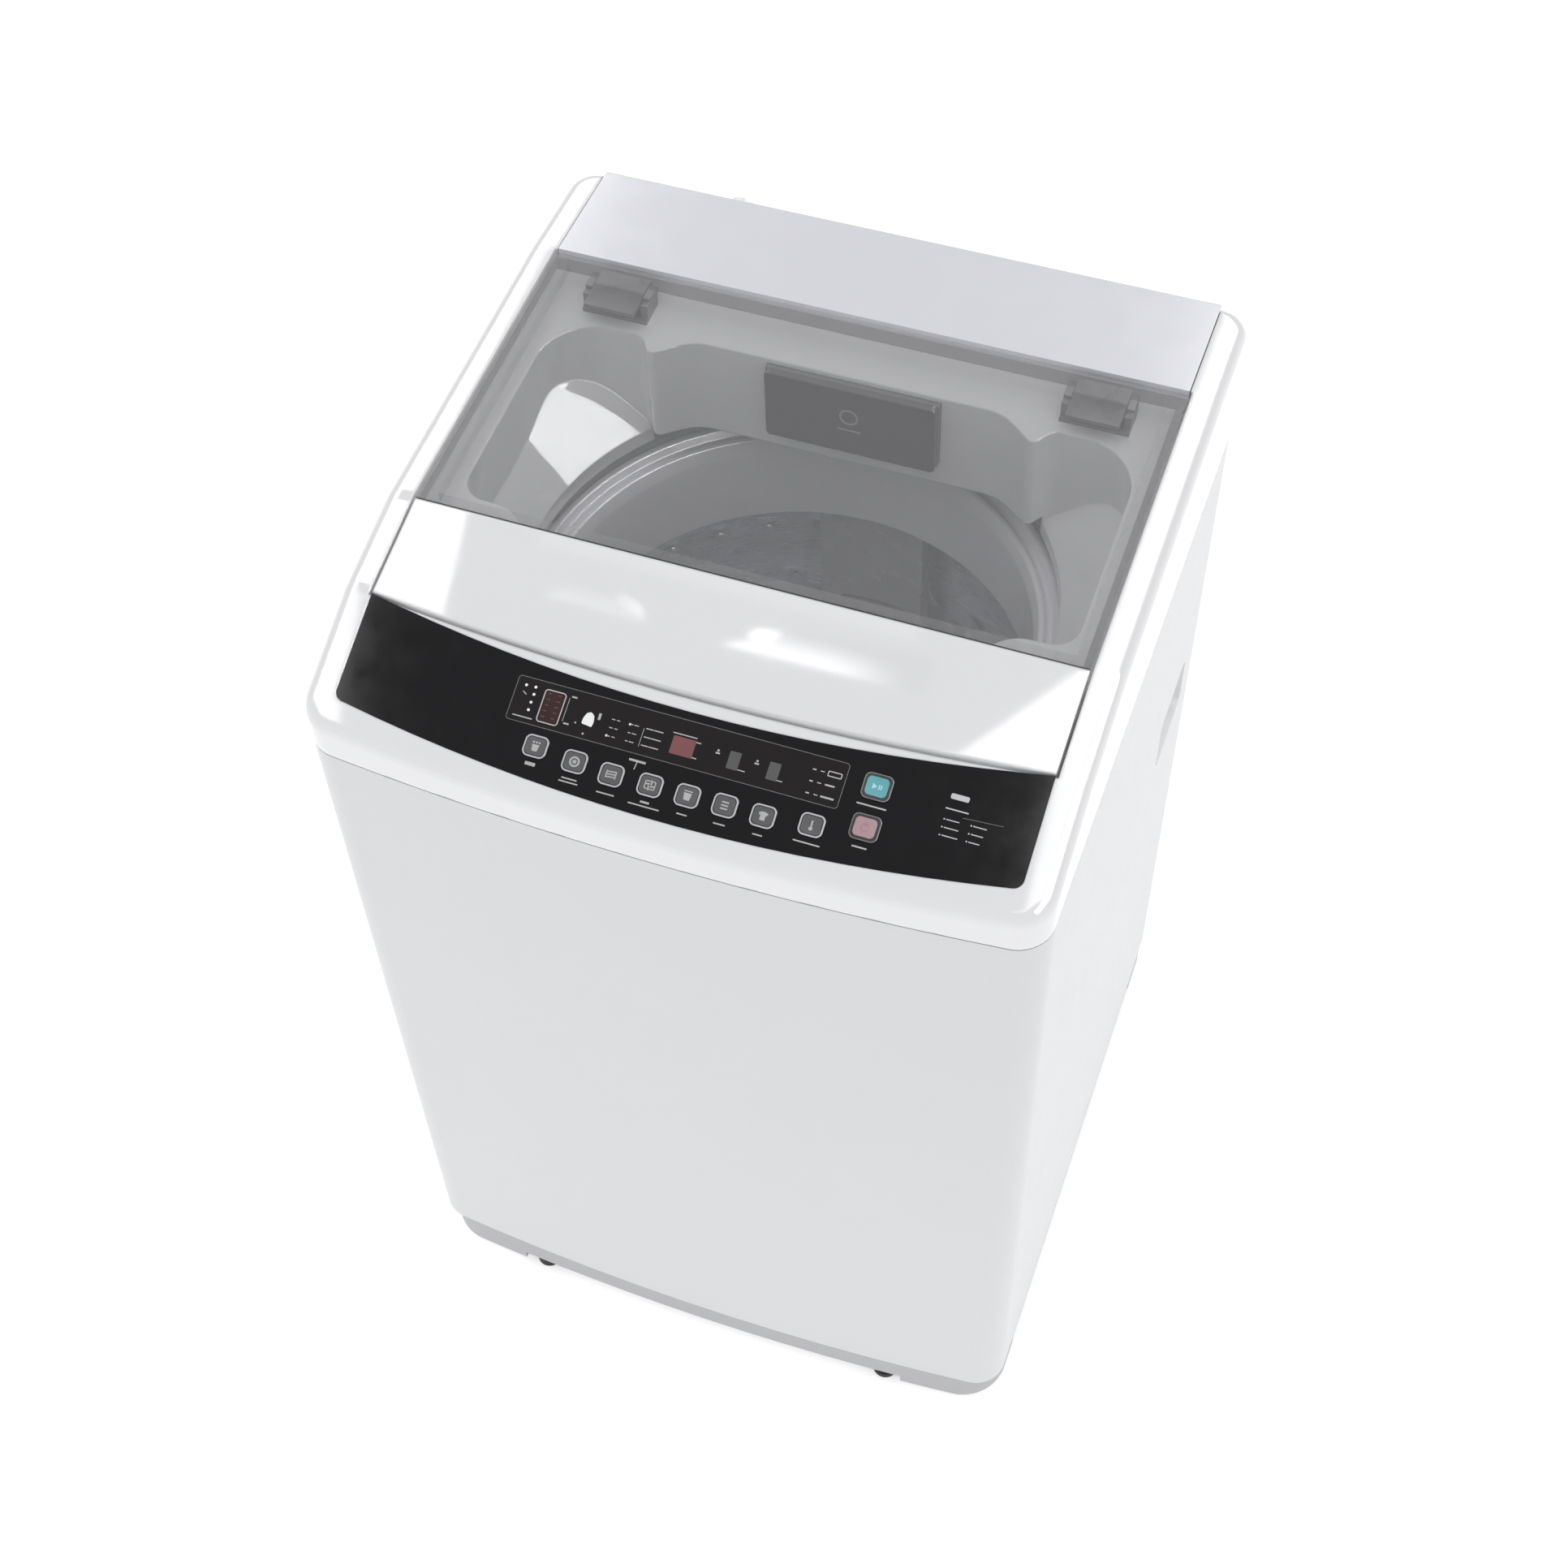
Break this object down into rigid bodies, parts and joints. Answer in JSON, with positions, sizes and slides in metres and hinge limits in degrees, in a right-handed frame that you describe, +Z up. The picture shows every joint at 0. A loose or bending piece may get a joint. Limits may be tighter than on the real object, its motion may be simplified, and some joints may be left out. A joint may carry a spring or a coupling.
{
  "type": "top load washing machine",
  "caption": "Top load washing machine: white casing with a bowed front, sloping black key panel, tinted lid over a round basket, hanging tub with pulsator and belt drive.",
  "frame": {"origin": "on the floor, under the centre of the machine's box", "axes": "+Z up, -Y towards the user at the bowed front, +X to the user's right"},
  "size_m": [0.58, 0.5966, 0.9127],
  "materials": {
    "white_sheet": "powder coated, satin",
    "white_gloss": "high gloss moulded",
    "white_plastic": "moulded, satin",
    "cool_gray_gloss": "gloss moulded",
    "gray_plastic": "moulded, matte",
    "zinc_steel": "zinc plated",
    "spring_steel": "oiled steel",
    "black_rubber": "moulded rubber",
    "black_panel": "satin black fascia",
    "smoke_lens": "smoked lens",
    "board": "solder mask",
    "dark_plastic": "moulded",
    "tub_plastic": "moulded polypropylene",
    "cast_aluminium": "as cast",
    "stainless": "bright annealed",
    "ring_plastic": "moulded, satin",
    "pulsator_plastic": "moulded, satin",
    "smoke_glass": "tinted, polished",
    "smoke_frame": "smoked plastic",
    "drawer_plastic": "dark moulded",
    "key_plastic": "key cap with a printed ring"
  },
  "bodies": {
    "cabinet": {"cabinet_shell": "white_sheet", "back_panel": "white_sheet", "base_frame": "gray_plastic", "side_handles": "white_plastic", "corner_gussets": "zinc_steel", "suspension_rods": "zinc_steel", "fixed_feet": "black_rubber", "top_frame": "white_gloss", "rear_cover": "cool_gray_gloss", "control_panel": "black_panel", "display_window": "smoke_lens", "control_board": "board", "hinge_housings": "dark_plastic", "lid_switch": "dark_plastic", "dispenser_housing": "dark_plastic", "inlet_valve": "white_plastic", "inlet_hose": "black_rubber", "pressure_sensor": "white_plastic", "power_cord_gland": "dark_plastic", "drain_outlet": "gray_plastic", "cabinet_screws": "zinc_steel"},
    "tub": {"outer_tub": "tub_plastic", "tub_ring": "tub_plastic", "support_plate": "zinc_steel", "gearbox": "cast_aluminium", "motor": "cast_aluminium", "drain_valve": "tub_plastic", "drain_hose": "black_rubber", "damper_cups": "tub_plastic", "suspension_springs": "spring_steel", "shaft_seal": "black_rubber", "shaft_bearings": "spring_steel", "drive_belt": "black_rubber"},
    "basket": {"basket_drum": "stainless", "balance_ring": "ring_plastic", "basket_base": "cast_aluminium", "basket_hub": "spring_steel", "lint_filters": "ring_plastic"},
    "pulsator": {"pulsator": "pulsator_plastic", "pulsator_shaft": "spring_steel", "pulsator_screw": "pulsator_plastic"},
    "drive_pulley": {"drive_pulley": "cast_aluminium"},
    "motor_rotor": {"motor_rotor": "spring_steel", "motor_pulley": "cast_aluminium"},
    "lid": {"lid_glass": "smoke_glass", "lid_front_cover": "white_gloss", "lid_frame": "smoke_frame", "lid_hinges": "dark_plastic"},
    "dispenser": {"dispenser_drawer": "drawer_plastic"},
    "adjustable_foot": {"adjustable_foot": "black_rubber"},
    "button_soak": {"button_soak": "key_plastic"},
    "button_wash": {"button_wash": "key_plastic"},
    "button_rinse": {"button_rinse": "key_plastic"},
    "button_spin": {"button_spin": "key_plastic"},
    "button_level": {"button_level": "key_plastic"},
    "button_program": {"button_program": "key_plastic"},
    "button_delay": {"button_delay": "key_plastic"},
    "button_dry": {"button_dry": "key_plastic"},
    "button_start": {"button_start": "key_plastic"},
    "button_power": {"button_power": "key_plastic"}
  },
  "joints": [
    {"name": "lid_hinge", "type": "hinge", "parent": "cabinet", "child": "lid", "pos_m": [0, 0.16, 0.904], "axis": [-1, 0, 0], "range_deg": [0, 95]},
    {"name": "tub_suspension", "type": "slide", "parent": "cabinet", "child": "tub", "axis": [0, 0, 1], "range_m": [-0.02, 0.008], "stiffness_N_per_m": 6000, "springref_m": 0.04846, "deforming": ["suspension_springs", "drain_hose"]},
    {"name": "basket_spin", "type": "hinge", "parent": "tub", "child": "basket", "pos_m": [0, -0.009, 0.3], "axis": [0, 0, 1], "continuous": true},
    {"name": "pulsator_spin", "type": "hinge", "parent": "tub", "child": "pulsator", "pos_m": [0, -0.009, 0.3], "axis": [0, 0, 1], "continuous": true},
    {"name": "drive_pulley_spin", "type": "hinge", "parent": "tub", "child": "drive_pulley", "pos_m": [0, -0.009, 0.073], "axis": [0, 0, 1], "continuous": true},
    {"name": "motor_spin", "type": "hinge", "parent": "tub", "child": "motor_rotor", "pos_m": [0, 0.16, 0.073], "axis": [0, 0, 1], "continuous": true},
    {"name": "dispenser_slide", "type": "slide", "parent": "cabinet", "child": "dispenser", "axis": [0, -1, 0], "range_m": [0, 0.09]},
    {"name": "adjustable_foot_turn", "type": "hinge", "parent": "cabinet", "child": "adjustable_foot", "pos_m": [0.178, -0.276, 0.01], "axis": [0, 0, 1], "continuous": true},
    {"name": "button_soak_press", "type": "slide", "parent": "cabinet", "child": "button_soak", "axis": [0, 0.411, -0.9116], "range_m": [0, 0.0008], "stiffness_N_per_m": 1500},
    {"name": "button_wash_press", "type": "slide", "parent": "cabinet", "child": "button_wash", "axis": [0, 0.411, -0.9116], "range_m": [0, 0.0008], "stiffness_N_per_m": 1500},
    {"name": "button_rinse_press", "type": "slide", "parent": "cabinet", "child": "button_rinse", "axis": [0, 0.411, -0.9116], "range_m": [0, 0.0008], "stiffness_N_per_m": 1500},
    {"name": "button_spin_press", "type": "slide", "parent": "cabinet", "child": "button_spin", "axis": [0, 0.411, -0.9116], "range_m": [0, 0.0008], "stiffness_N_per_m": 1500},
    {"name": "button_level_press", "type": "slide", "parent": "cabinet", "child": "button_level", "axis": [0, 0.411, -0.9116], "range_m": [0, 0.0008], "stiffness_N_per_m": 1500},
    {"name": "button_program_press", "type": "slide", "parent": "cabinet", "child": "button_program", "axis": [0, 0.411, -0.9116], "range_m": [0, 0.0008], "stiffness_N_per_m": 1500},
    {"name": "button_delay_press", "type": "slide", "parent": "cabinet", "child": "button_delay", "axis": [0, 0.411, -0.9116], "range_m": [0, 0.0008], "stiffness_N_per_m": 1500},
    {"name": "button_dry_press", "type": "slide", "parent": "cabinet", "child": "button_dry", "axis": [0, 0.411, -0.9116], "range_m": [0, 0.0008], "stiffness_N_per_m": 1500},
    {"name": "button_start_press", "type": "slide", "parent": "cabinet", "child": "button_start", "axis": [0, 0.411, -0.9116], "range_m": [0, 0.0008], "stiffness_N_per_m": 1500},
    {"name": "button_power_press", "type": "slide", "parent": "cabinet", "child": "button_power", "axis": [0, 0.411, -0.9116], "range_m": [0, 0.0008], "stiffness_N_per_m": 1500}
  ],
  "couplings": [
    {"joint": "motor_spin", "follows": "drive_pulley_spin", "ratio": 3.55},
    {"joint": "pulsator_spin", "follows": "drive_pulley_spin", "ratio": 0.2}
  ]
}
